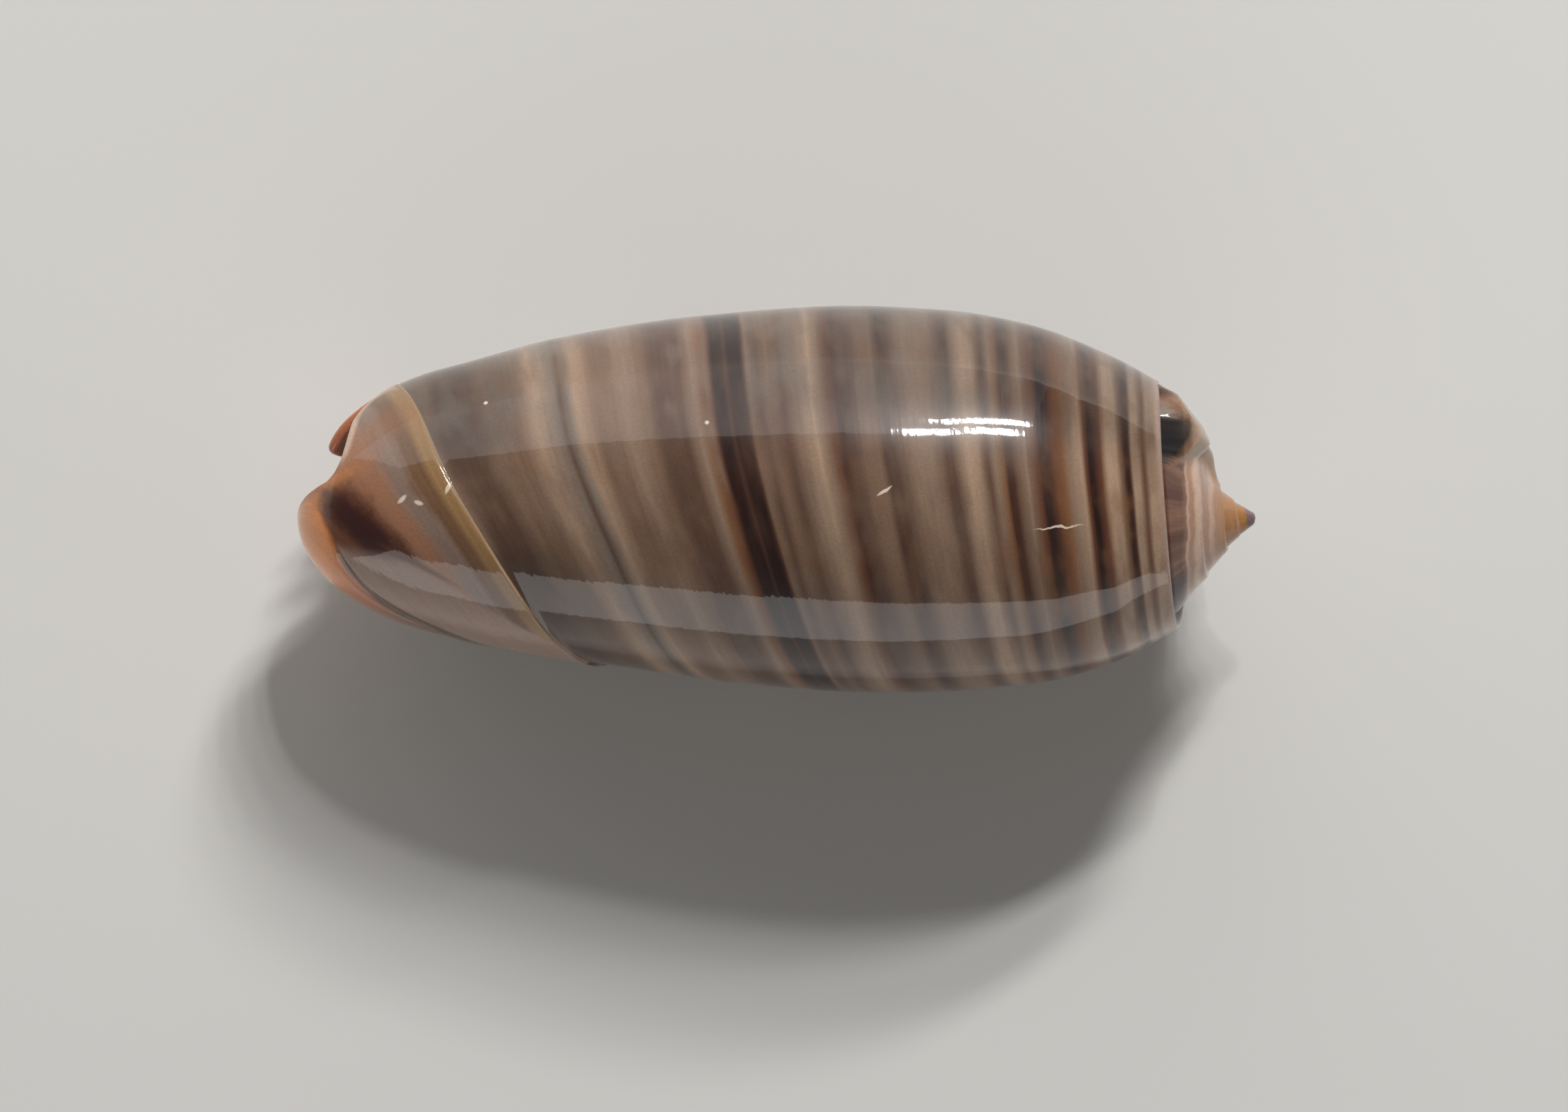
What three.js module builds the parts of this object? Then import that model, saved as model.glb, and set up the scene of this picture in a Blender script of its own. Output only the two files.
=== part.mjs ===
// An olive shell: one grown piece, 42 mm long, lying on its aperture, in millimetres with +Z up.
// The coiling axis runs along X with the spire at +X. A point of the wall is given by "along", its distance
// from the apex along that axis, and by "turn", its angle in degrees round it: 0 is the back of the shell
// (+Z), 90 the side of the outer lip (+Y), and growth runs towards higher turns, up to the lip's edge.
import * as THREE from "three";
import { mergeVertices } from "three/addons/utils/BufferGeometryUtils.js";

// Sizes of the whole shell
const LENGTH = 42;
const NOSE_LENGTH = 6; // the front end rounds off like an ellipse over this length
const REST_DEPTH = 6.67; // the flat rest spot lies this far below the coiling axis

// Radius against distance from the apex, on the lip side (turn 90) and on the far side (turn -90)
const LIP_SIDE = [
  [0, 3.2], [2, 4.6], [4, 5.85], [6.4, 7.17], [10, 8.55], [13.6, 9.17], [17.8, 9.36],
  [24.4, 8.91], [30.4, 7.98], [35.2, 6.7], [37.7, 6.08], [39.5, 5.83], [LENGTH, 5.8],
];
const FAR_SIDE = [
  [0, 2.4], [2, 3.9], [3.3, 4.78], [6.4, 6.42], [10, 7.32], [16, 7.68],
  [22, 7.32], [28, 6.48], [34, 5.38], [36.4, 4.68], [38, 4.38], [40.2, 4.1], [LENGTH, 4.05],
];

// Growth: ln(size) rises by these rates per degree, the early rate giving way to the late one near a turn
const EARLY_RATE = 0.002;
const LATE_RATE = 0.0004;
const RATE_TURN = 22;
const RATE_SPREAD = 9;

// The growing edge: the outer lip, and the rim of the siphonal notch from the nose to the lip's foot
const LIP_TURN = 150;
const LIP_FOOT_TURN = 144;
const LIP_FOOT_ROWS = [0.62, 0.8];
const NOTCH_RIM = [
  [30, LENGTH], [28, 41.5], [27, 40.95], [31, 40.4], [41, 39.97], [50, 39.78], [59, 39.62], [67, 39.46],
  [74, 39.08], [80, 38.42], [88, 37.85], [94, 38.4], [99, 39.3], [107, 40.2], [119, 40.6],
  [130, 40.3], [139, 39.5], [LIP_FOOT_TURN, 38.85],
];
const RIM_TURNS = 10; // degrees that count as much as 1 mm along the rim
const LIP_CURL = 0.185; // share of its radius by which the lip bends in
const LIP_CURL_TURNS = [80, 165];

// Where the whorl dives into the aperture and becomes the columella, and by which share of its radius
const PLUNGE_TURN = -164;
const PLUNGE_SPREAD = 75;
const PLUNGE_HIND = 0.12;
const PLUNGE_MIDDLE = 0.44;
const PLUNGE_MIDDLE_RANGE = [2, 10];
const PLUNGE_FRONT_EXTRA = 0.26;
const PLUNGE_FRONT_RANGE = [22, 38];

// The band that the notch leaves behind it, and the rolled edge of the nose
const BAND_START = 34.3;
const BAND_DRIFT = 0.75; // the band's edge drifts forward on the lip side, to meet the notch
const BAND_DRIFT_TURNS = [20, 95];
const BAND_END_TURNS = [80, 86];
const BAND_HEIGHT = 0.16;
const BAND_RISE = 0.12;
const ROLL_HEIGHT = 0.12;
const ROLL_SOFTNESS = 18;
const ROLL_RANGE = [32, 37];
const ROLL_TURNS = [-200, -150];
const ROLL_LINE = [[33, -88], [36.4, -71], [38.8, -54], [39.9, -36], [40.6, -13], [41.2, 12], [LENGTH, 30]];
const RELIEF_FADE = 5; // the relief fades out at the very nose

// Wall and cavity
const WALL = 0.9;
const RIM_WALL = 0.5;
const LIP_WALL = 1.1;
const CAVITY_END_TURN = -100;
const ROOF_DROP = 2; // the hollow ends this far below the shoulder
const ROOF_ROWS = [0, 0.3];
const CAVITY_END_ROWS = [0.7, 1];
const ROOF_OPENS = [0.75, 1]; // on this part of the way to the lip the roof rises to the shoulder
const WALL_THICKENS = [0.8, 1]; // and on this part the wall thickens
const FOLD_PITCH = 1.7; // spacing of the folds on the columella
const FOLD_HEIGHT = 0.13;
const FOLD_RANGE = [22, 32];
const FOLD_OUTER_TURNS = [-185, -150];
const FOLD_INNER_TURNS = [-330, -290];

// Spire
const SHOULDER_START = 4;
const SPIRE_PROFILE = [ // distance from the apex against radius
  [0, 0], [0.25, 0.06], [0.5, 0.36], [1, 0.92], [1.6, 1.42], [2.2, 1.85], [3, 2.5], [4.5, 3.7], [9, 7.3],
];
const CHANNEL_WIDTH = 0.75;
const CHANNEL_DEPTH = 0.85;
const CHANNEL_WALLS = [0.45, 0.55]; // shares of its width where its two walls meet its floor
const CHANNEL_CLOSED_WIDTH = 0.8; // share of its width left where the callus fills it
const CHANNEL_SHALLOW = 0.35; // share of its depth at the far side
const CHANNEL_DEEPENS = [-90, 20];
const HOLE_TURNS = [24, 40, 64, 80]; // the channel deepens over the first two and ends over the last two
const HOLE_DEPTH = 0.5; // on top of the channel's
const HOLE_WIDENS = 1.1; // share of the channel's width
const CALLUS_PROFILE = [[1.3, 0], [2, 0.36], [2.9, 0.56], [4.2, 1], [9, 1]]; // its height against radius
const CALLUS_TURN = 128; // middle of the callus pad that joins lip and spire
const CALLUS_HIDDEN = [15, 64]; // half turns to the pad's end beyond the middle
const CALLUS_INNER = [38, 66]; // and before it, near the spire
const CALLUS_OUTER = [70, 104]; // and before it, near the shoulder
const CALLUS_SLANT = [2.2, 4.6]; // radii between these two
const LEAN = 0.38; // the tip is this much steeper on the lip's side
const LEAN_FADES = [1.4, 3];
const MERGE_RADIUS = 2.7; // inside this radius the spire's whorls follow one spiral
const SUTURE_RADIUS = 2.4; // of the older suture, on the far side
const SUTURE_RATIO = 1.8; // growth of that suture in one turn
const SUTURE_STEP = 0.16;
const SUTURE_WIDTH = 0.15; // share of a whorl taken by its step
const SUTURE_GROWS = [0.3, 1.6];
const SUTURE_FADES = [3, 4];

// Steps of the mesh
const ROWS_BODY = 18;
const ROWS_BAND = 10;
const ROWS_CHANNEL = 8;
const ROWS_SPIRE = 12;
const COLUMNS_CAVITY = 30;
const COLUMNS_FAR = 26;
const BAND_ROW = 0.8; // rows run from the shoulder (0) over the band's edge (BAND_ROW) to the rim (1)
const BAND_STEP_ROW = 0.004; // the band rises over this short row
const SHOULDER_CROWDING = 0.45; // rows lie closer together towards the shoulder
const NOSE_CROWDING = 1.7; // and towards the rounded nose
const CHANNEL_CROWDING = 0.65; // and towards the channel
const EDGE_ROUNDNESS = 0.35; // bulge of a rounded edge, as a share of the wall's width
const EDGE_STEP = 0.02;
const NORMAL_STEP = 0.02;
const JOIN_DISTANCE = 0.002;

const radians = THREE.MathUtils.degToRad;
const mix = THREE.MathUtils.lerp;
const smooth = (x, [low, high]) => THREE.MathUtils.smoothstep(x, low, high);
const softplus = (x) => Math.log1p(Math.exp(x));

// A smooth curve y(x) through knots, without overshoot between them
function through(knots) {
  const slope = knots.map((knot, i) => {
    if (i === 0 || i === knots.length - 1) return null;
    const before = (knot[1] - knots[i - 1][1]) / (knot[0] - knots[i - 1][0]);
    const after = (knots[i + 1][1] - knot[1]) / (knots[i + 1][0] - knot[0]);
    return before * after <= 0 ? 0 : (2 * before * after) / (before + after);
  });
  return (x) => {
    const next = knots.findIndex((knot) => knot[0] > x);
    const i = next < 0 ? knots.length - 2 : Math.max(0, next - 1);
    const [[x0, y0], [x1, y1]] = [knots[i], knots[i + 1]];
    const chord = (y1 - y0) / (x1 - x0);
    const t = Math.max(0, Math.min(1, (x - x0) / (x1 - x0)));
    const m0 = (slope[i] ?? chord) * (x1 - x0);
    const m1 = (slope[i + 1] ?? chord) * (x1 - x0);
    const t2 = t * t;
    const t3 = t2 * t;
    return (2 * t3 - 3 * t2 + 1) * y0 + (t3 - 2 * t2 + t) * m0 + (3 * t2 - 2 * t3) * y1 + (t3 - t2) * m1;
  };
}

const lipSide = through(LIP_SIDE);
const farSide = through(FAR_SIDE);
const rollTurn = through(ROLL_LINE);

// Size of the shell at a turn, against its size at turn 0: spiral lines run at along = start * growth(turn)
function growth(turn) {
  const change = softplus(RATE_TURN / RATE_SPREAD) - softplus((RATE_TURN - turn) / RATE_SPREAD);
  return Math.exp(LATE_RATE * turn + (EARLY_RATE - LATE_RATE) * RATE_SPREAD * change);
}

const bandStart = (turn) => BAND_START + BAND_DRIFT * smooth(turn, BAND_DRIFT_TURNS);

// The radius left to the wall where it has dived in, as a share: least at the slim front end
function plunge(along, turn) {
  const hind = mix(PLUNGE_HIND, PLUNGE_MIDDLE, smooth(along, PLUNGE_MIDDLE_RANGE));
  const share = hind + PLUNGE_FRONT_EXTRA * smooth(along, PLUNGE_FRONT_RANGE);
  return 1 - share * smooth(PLUNGE_TURN - turn, [0, PLUNGE_SPREAD]);
}

// Relief of the outer surface, added to its radius
function relief(along, turn) {
  const start = along / growth(turn);
  const onBand = smooth(start - bandStart(turn), [0, BAND_RISE]) * (1 - smooth(turn, BAND_END_TURNS));
  const roll = smooth(rollTurn(along) - turn, [-ROLL_SOFTNESS, ROLL_SOFTNESS]);
  const rolled = smooth(along, ROLL_RANGE) * smooth(turn, ROLL_TURNS);
  const folds = 0.5 - 0.5 * Math.cos((2 * Math.PI * start) / FOLD_PITCH);
  const inAperture = (1 - smooth(turn, FOLD_OUTER_TURNS)) * smooth(turn, FOLD_INNER_TURNS);
  const folded = smooth(start, FOLD_RANGE) * inAperture;
  const fade = Math.min(1, RELIEF_FADE * Math.sqrt(Math.max(0, 1 - along / LENGTH)));
  return fade * (BAND_HEIGHT * onBand + ROLL_HEIGHT * roll * rolled + FOLD_HEIGHT * folds * folded);
}

// Radius of the outer surface, and of the older wall that it becomes inside the aperture
function radius(along, turn) {
  const far = farSide(along);
  const spiral = far * Math.pow(lipSide(along) / far, (turn + 90) / 180);
  const curl = 1 - LIP_CURL * smooth(turn, LIP_CURL_TURNS);
  const nose = Math.sqrt(Math.max(0, 1 - Math.pow(Math.max(0, (along - LENGTH) / NOSE_LENGTH + 1), 2)));
  return nose * (spiral * curl * plunge(along, turn) + relief(along, turn));
}

function point(along, turn, r = radius(along, turn)) {
  return new THREE.Vector3(-along, r * Math.sin(radians(turn)), r * Math.cos(radians(turn)));
}

// Outward normal of the outer surface, by small steps along it
function normal(along, turn) {
  const at = Math.min(along, LENGTH - 2 * NORMAL_STEP);
  const forward = point(at + NORMAL_STEP, turn).sub(point(at - NORMAL_STEP, turn));
  const around = point(at, turn + 1).sub(point(at, turn - 1));
  return forward.cross(around).normalize().negate();
}

const crowdStart = (x) => mix(x, x * x, SHOULDER_CROWDING);
const crowdNose = (x) => 1 - Math.pow(1 - x, NOSE_CROWDING);
const columns = (count) => Array.from({ length: count + 1 }, (_, i) => i / count);
const rows = [
  ...columns(ROWS_BODY).map((x) => BAND_ROW * crowdStart(x)),
  ...columns(ROWS_BAND).map((x) => mix(BAND_ROW + BAND_STEP_ROW, 1, crowdNose(x))),
];
const cavityEnd = (row) => mix(CAVITY_END_TURN, NOTCH_RIM[0][0], smooth(row, CAVITY_END_ROWS));
const lipTurn = (row) => mix(LIP_TURN, LIP_FOOT_TURN, smooth(row, LIP_FOOT_ROWS));
const bandShare = (row) => Math.max(0, (row - BAND_ROW) / (1 - BAND_ROW));

// Distance from the apex at a row, for a front edge at "rimAlong"
function alongAt(row, turn, rimAlong = LENGTH) {
  const start = mix(SHOULDER_START, bandStart(turn), Math.min(1, row / BAND_ROW));
  return mix(start * growth(turn), rimAlong, bandShare(row));
}

const rimCurve = new THREE.CatmullRomCurve3(
  NOTCH_RIM.map(([turn, along]) => new THREE.Vector3(turn / RIM_TURNS, along, 0)), false, "centripetal",
);

// A place on the hollow part of the whorl: t runs from the cavity's end (0) to the lip (1)
function wallPlace(t, row) {
  const share = bandShare(row);
  const turn = mix(cavityEnd(row), lipTurn(row), t);
  if (share === 0) return { turn, along: alongAt(row, turn) };
  const rim = rimCurve.getPoint(t);
  const straight = mix(mix(cavityEnd(BAND_ROW), LIP_FOOT_TURN, t), turn, share);
  const bent = mix(straight, rim.x * RIM_TURNS, share * share);
  return { turn: bent, along: alongAt(row, bent, rim.y) };
}

function wallThickness(t, row) {
  const body = mix(WALL, LIP_WALL, smooth(t, WALL_THICKENS));
  return mix(body, RIM_WALL, smooth(row, [BAND_ROW, 1]));
}

function outerPoint(t, row) {
  const { turn, along } = wallPlace(t, row);
  return point(along, turn);
}

// The inner face of the wall starts a little below the shoulder, except at the lip
function innerPoint(t, row) {
  const { turn, along } = wallPlace(t, row);
  const drop = ROOF_DROP * (1 - smooth(row, ROOF_ROWS)) * (1 - smooth(t, ROOF_OPENS));
  const at = along + drop;
  return point(at, turn).addScaledVector(normal(at, turn), -wallThickness(t, row));
}

// The older whorl seen in the aperture; at its outer end it runs on into the whorl's outside
function olderPoint(t, row) {
  const { turn } = wallPlace(t, Math.min(row, BAND_ROW));
  const level = mix(turn, mix(cavityEnd(row), lipTurn(row), t), bandShare(row));
  const deep = alongAt(row, level) + ROOF_DROP * (1 - smooth(row, ROOF_ROWS));
  const along = mix(deep, alongAt(row, level - 360), smooth(t, ROOF_OPENS));
  return point(along, level - 360);
}

// The rounded edge between the outer and the inner face
function crest(outer, inner, behind) {
  const out = outer.clone().sub(behind).normalize();
  const width = outer.distanceTo(inner);
  return outer.clone().add(inner).multiplyScalar(0.5).addScaledVector(out, EDGE_ROUNDNESS * width);
}

// Height of the callus pad over the spire at a radius
const callusProfile = through(CALLUS_PROFILE);
function callusHeight(turn, r) {
  const beyond = ((((turn - CALLUS_TURN) % 360) + 540) % 360) - 180;
  const slant = smooth(r, CALLUS_SLANT);
  const before = CALLUS_INNER.map((inner, i) => mix(inner, CALLUS_OUTER[i], slant));
  return (1 - smooth(Math.abs(beyond), beyond > 0 ? CALLUS_HIDDEN : before)) * callusProfile(r);
}

// Radius at which an upright cone would have the same slope
function leaned(r, turn) {
  const facingLip = 0.5 + 0.5 * Math.sin(radians(turn));
  return r * (1 + LEAN * facingLip * (1 - smooth(r, LEAN_FADES)));
}

// Distance from the apex at a radius: a spiral of low steps on a cone, which repeats at turn + 360
const spireProfile = through(SPIRE_PROFILE);
function spireAlong(r, turn) {
  const upright = leaned(r, turn);
  const whorls = Math.log(Math.max(upright, JOIN_DISTANCE) / SUTURE_RADIUS) / Math.log(SUTURE_RATIO);
  const phase = whorls - (turn + 90) / 360;
  const f = phase - Math.floor(phase);
  const rise = smooth(f, [0, SUTURE_WIDTH]) - Math.max(0, f - SUTURE_WIDTH) / (1 - SUTURE_WIDTH) - 0.5;
  const height = SUTURE_STEP * rise * smooth(upright, SUTURE_GROWS) * (1 - smooth(upright, SUTURE_FADES));
  return spireProfile(upright) - height - callusHeight(turn, r);
}

// The channel is deepest in a hole behind the lip
const holeShare = (turn) => smooth(turn, HOLE_TURNS.slice(0, 2)) * (1 - smooth(turn, HOLE_TURNS.slice(2)));

// The end of the whorl between its shoulder and the spire, with the open channel of the suture
function channelPoint(edge, share) {
  const r = mix(edge.r, MERGE_RADIUS, share);
  const inward = edge.r - r;
  const hole = holeShare(edge.turn);
  const width = Math.min(CHANNEL_WIDTH * (1 + HOLE_WIDENS * hole), edge.r - MERGE_RADIUS);
  const deepening = mix(CHANNEL_SHALLOW, 1, smooth(edge.turn, CHANNEL_DEEPENS));
  const open = 1 - callusHeight(edge.turn, r) * (1 - hole);
  const depth = CHANNEL_DEPTH * deepening * open + HOLE_DEPTH * hole;
  const floor = edge.along + depth * smooth(inward / width, [0, CHANNEL_WALLS[0]]);
  const rises = [CHANNEL_WALLS[1] * open, mix(CHANNEL_CLOSED_WIDTH, 1, open)];
  const along = mix(floor, spireAlong(r, edge.turn), smooth(inward / width, rises));
  return point(along, edge.turn, r);
}

// How far the middle of two points lies from the coiling axis, doubled
const reach = (p, q) => Math.hypot(p.y + q.y, p.z + q.z);

// Gathers triangles; the corners of each face go anticlockwise, seen from outside
class Skin {
  corners = [];

  face(a, b, c) {
    this.corners.push(...a, ...b, ...c);
  }

  // The strip between two lines of equally many points, each quad cut so that it bulges outwards
  strip(from, to) {
    for (let i = 0; i + 1 < from.length; i++) {
      const [a, b, c, d] = [from[i], from[i + 1], to[i + 1], to[i]];
      if (reach(a, c) >= reach(b, d)) {
        this.face(a, b, c);
        this.face(a, c, d);
      } else {
        this.face(a, b, d);
        this.face(b, c, d);
      }
    }
  }
}

// The places of one row round the outside, from the aperture to the lip
function outsideLine(row) {
  const { turn: end, along: endAlong } = wallPlace(0, row);
  const begin = lipTurn(row) - 360;
  const far = columns(COLUMNS_FAR).map((s) => {
    const turn = mix(begin, end, s);
    return { turn, along: s === 1 ? endAlong : alongAt(row, turn) };
  });
  const near = columns(COLUMNS_CAVITY).slice(1).map((t) => wallPlace(t, row));
  return [...far, ...near];
}

// Each row is a ring: round the outside, over the lip, back along the inner face, out over the columella
function shellGeometry() {
  const skin = new Skin();
  const lines = rows.map((row) => {
    const outside = outsideLine(row).map(({ along, turn }) => point(along, turn));
    const inside = columns(COLUMNS_CAVITY).map((t) => innerPoint(t, row)).reverse();
    const older = columns(COLUMNS_CAVITY).map((t) => olderPoint(t, row));
    const lip = crest(outside.at(-1), inside[0], outerPoint(1 - EDGE_STEP, row));
    return { outside, inside, older, lip };
  });
  const rings = lines.map(({ outside, lip, inside, older }) => [...outside, lip, ...inside, ...older]);
  for (let i = 0; i + 1 < rings.length; i++) skin.strip(rings[i], rings[i + 1]);
  closeFront(skin, lines.at(-1));
  closeRoof(skin, lines[0]);
  addSpire(skin);
  return finish(skin);
}

// The rounded rim of the notch
function closeFront(skin, { outside, inside, lip }) {
  const outer = outside.slice(COLUMNS_FAR);
  const inner = [...inside].reverse();
  const behind = columns(COLUMNS_CAVITY).map((t) => outerPoint(t, 1 - EDGE_STEP));
  const middle = behind.map((place, i) => crest(outer[i], inner[i], place));
  middle[0] = outer[0];
  middle[COLUMNS_CAVITY] = lip;
  skin.strip(outer, middle);
  skin.strip(middle, inner);
}

// The roof of the hollow, and the hind end of the lip
function closeRoof(skin, { outside, inside, older, lip }) {
  const inner = [...inside].reverse();
  skin.strip(inner, older);
  skin.face(inner.at(-1), lip, older.at(-1));
  skin.face(lip, outside.at(-1), older.at(-1));
}

function addSpire(skin) {
  const edges = outsideLine(0).map((place) => ({ ...place, r: radius(place.along, place.turn) }));
  const shares = columns(ROWS_CHANNEL).map((s) => mix(s, s * s, CHANNEL_CROWDING));
  const outerRings = shares.map((s) => edges.map((edge) => channelPoint(edge, s)));
  const innerRings = columns(ROWS_SPIRE).slice(1).map((s) => edges.map(({ turn }) => {
    const r = MERGE_RADIUS * (1 - s);
    return point(spireAlong(r, turn), turn, r);
  }));
  const rings = [...outerRings, ...innerRings].map((ring) => [...ring, ring[0]]);
  for (let i = 0; i + 1 < rings.length; i++) skin.strip(rings[i + 1], rings[i]);
}

// Flattens the rest spot, joins the corners, drops the faces that have shrunk to nothing and sets the shell
// down on the plane z = 0, centred
function finish(skin) {
  const soup = new THREE.BufferGeometry();
  const flat = skin.corners.map((value, i) => (i % 3 === 2 ? Math.max(value, -REST_DEPTH) : value));
  soup.setAttribute("position", new THREE.Float32BufferAttribute(flat, 3));
  const geometry = mergeVertices(soup, JOIN_DISTANCE);
  const index = [...geometry.index.array];
  const kept = [];
  for (let i = 0; i < index.length; i += 3) {
    const [a, b, c] = index.slice(i, i + 3);
    if (a !== b && b !== c && c !== a) kept.push(a, b, c);
  }
  geometry.setIndex(kept);
  geometry.computeBoundingBox();
  const { min, max } = geometry.boundingBox;
  geometry.translate(-(min.x + max.x) / 2, -(min.y + max.y) / 2, -min.z);
  geometry.computeVertexNormals();
  return geometry;
}

const glaze = new THREE.MeshStandardMaterial({
  name: "brown porcelain shell", color: "#77604f", roughness: 0.16, metalness: 0,
});

const shell = new THREE.Mesh(shellGeometry(), glaze);
shell.name = "shell";

const part = new THREE.Group();
part.name = "olive_shell";
part.add(shell);

export default part;
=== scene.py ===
import functools
import math
import bmesh
import bpy
import numpy as np
from mathutils import Matrix, Vector


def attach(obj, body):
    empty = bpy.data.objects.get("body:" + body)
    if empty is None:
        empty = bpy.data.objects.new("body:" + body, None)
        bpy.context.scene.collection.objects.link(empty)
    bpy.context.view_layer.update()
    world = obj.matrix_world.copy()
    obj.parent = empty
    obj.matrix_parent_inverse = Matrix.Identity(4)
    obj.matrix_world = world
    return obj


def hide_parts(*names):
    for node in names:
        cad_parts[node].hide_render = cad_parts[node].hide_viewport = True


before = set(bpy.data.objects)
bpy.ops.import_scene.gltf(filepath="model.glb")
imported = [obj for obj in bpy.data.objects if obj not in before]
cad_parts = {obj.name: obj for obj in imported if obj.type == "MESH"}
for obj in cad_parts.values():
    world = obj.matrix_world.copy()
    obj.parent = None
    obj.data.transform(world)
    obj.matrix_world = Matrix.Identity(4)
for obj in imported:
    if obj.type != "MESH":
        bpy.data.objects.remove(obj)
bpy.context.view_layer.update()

MM = 0.001

# ---- Shape, as in the solid ----------------------------------------------------------------------

# Sizes of the whole shell
LENGTH = 42
NOSE_LENGTH = 6  # the front end rounds off like an ellipse over this length
REST_DEPTH = 6.67  # the flat rest spot lies this far below the coiling axis

# Radius against the distance from the apex, on the lip side (turn 90) and the far side (turn -90)
LIP_SIDE = [
    (0, 3.2), (2, 4.6), (4, 5.85), (6.4, 7.17), (10, 8.55), (13.6, 9.17), (17.8, 9.36),
    (24.4, 8.91), (30.4, 7.98), (35.2, 6.7), (37.7, 6.08), (39.5, 5.83), (LENGTH, 5.8),
]
FAR_SIDE = [
    (0, 2.4), (2, 3.9), (3.3, 4.78), (6.4, 6.42), (10, 7.32), (16, 7.68),
    (22, 7.32), (28, 6.48), (34, 5.38), (36.4, 4.68), (38, 4.38), (40.2, 4.1), (LENGTH, 4.05),
]

# Growth: ln(size) rises by these rates per degree, the early one giving way to the late one near
# RATE_TURN
EARLY_RATE = 0.002
LATE_RATE = 0.0004
RATE_TURN = 22
RATE_SPREAD = 9

# The growing edge: the outer lip, and the rim of the siphonal notch from the nose to the lip's foot
LIP_TURN = 150
LIP_FOOT_TURN = 144
LIP_FOOT_ROWS = (0.62, 0.8)
NOTCH_RIM = [
    (30, LENGTH), (28, 41.5), (27, 40.95), (31, 40.4), (41, 39.97), (50, 39.78), (59, 39.62),
    (67, 39.46), (74, 39.08), (80, 38.42), (88, 37.85), (94, 38.4), (99, 39.3), (107, 40.2),
    (119, 40.6), (130, 40.3), (139, 39.5), (LIP_FOOT_TURN, 38.85),
]
LIP_CURL = 0.185  # share of its radius by which the lip bends in
LIP_CURL_TURNS = (80, 165)

# Where the whorl dives into the aperture and becomes the columella, and by which share of its
# radius
PLUNGE_TURN = -164
PLUNGE_SPREAD = 75
PLUNGE_HIND = 0.12
PLUNGE_MIDDLE = 0.44
PLUNGE_MIDDLE_RANGE = (2, 10)
PLUNGE_FRONT_EXTRA = 0.26
PLUNGE_FRONT_RANGE = (22, 38)

# The band that the notch leaves behind it, and the rolled edge of the nose
BAND_START = 34.3
BAND_DRIFT = 0.75  # the band's edge drifts forward on the lip side, to meet the notch
BAND_DRIFT_TURNS = (20, 95)
BAND_END_TURNS = (80, 86)
BAND_HEIGHT = 0.16
BAND_RISE = 0.12
ROLL_HEIGHT = 0.12
ROLL_SOFTNESS = 7
ROLL_RANGE = (32, 37)
ROLL_TURNS = (-200, -150)
ROLL_LINE = [
    (33, -88), (36.4, -71), (38.8, -54), (39.9, -36), (40.6, -13), (41.2, 12), (LENGTH, 30),
]
RELIEF_FADE = 5  # the relief fades out at the very nose
CREASE_ROLL = -3  # a groove runs this many degrees outside the rolled edge
CREASE_WIDTH = 5
CREASE_DEPTH = 0.07
CREASE_TURNS = (-30, -12)

# Wall and cavity
WALL = 0.9
RIM_WALL = 0.5
LIP_WALL = 1.1
CAVITY_END_TURN = -100
ROOF_DROP = 2  # the hollow ends this far below the shoulder
ROOF_ROWS = (0, 0.3)
CAVITY_END_ROWS = (0.7, 1)
ROOF_OPENS = (0.75, 1)  # on this part of the way to the lip the roof rises to the shoulder
WALL_THICKENS = (0.8, 1)  # and on this part the wall thickens
FOLD_PITCH = 1.7  # spacing of the folds on the columella
FOLD_HEIGHT = 0.13
FOLD_RANGE = (22, 32)
FOLD_OUTER_TURNS = (-185, -150)
FOLD_INNER_TURNS = (-330, -290)

# Spire
SHOULDER_START = 4
SPIRE_PROFILE = [  # distance from the apex against radius
    (0, 0), (0.25, 0.06), (0.5, 0.36), (1, 0.92), (1.6, 1.42), (2.2, 1.85), (3, 2.5), (4.5, 3.7),
    (9, 7.3),
]
CHANNEL_WIDTH = 0.75
CHANNEL_DEPTH = 0.85
CHANNEL_WALLS = (0.45, 0.55)  # shares of its width where its two walls meet its floor
CHANNEL_CLOSED_WIDTH = 0.8  # share of its width left where the callus fills it
CHANNEL_SHALLOW = 0.35  # share of its depth at the far side
CHANNEL_DEEPENS = (-90, 20)
HOLE_TURNS = (24, 40, 64, 80)  # the channel deepens over the first two and ends over the last two
HOLE_DEPTH = 0.5  # on top of the channel's
HOLE_WIDENS = 1.1  # share of the channel's width
CALLUS_PROFILE = [(1.3, 0), (2, 0.36), (2.9, 0.56), (4.2, 1), (9, 1)]  # its height against radius
CALLUS_TURN = 128  # middle of the callus pad that joins lip and spire
CALLUS_HIDDEN = (15, 64)  # half turns to the pad's end beyond the middle
CALLUS_INNER = (38, 66)  # and before it, near the spire
CALLUS_OUTER = (70, 104)  # and before it, near the shoulder
CALLUS_SLANT = (2.2, 4.6)  # radii between these two
LEAN = 0.38  # the tip is this much steeper on the lip's side
LEAN_FADES = (1.4, 3)
MERGE_RADIUS = 2.7  # inside this radius the spire's whorls follow one spiral
SUTURE_RADIUS = 2.4  # of the older suture, on the far side
SUTURE_RATIO = 1.8  # growth of that suture in one turn
SUTURE_STEP = 0.16
SUTURE_WIDTH = 0.15  # share of a whorl taken by its step
SUTURE_GROWS = (0.3, 1.6)
SUTURE_FADES = (3, 4)

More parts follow.
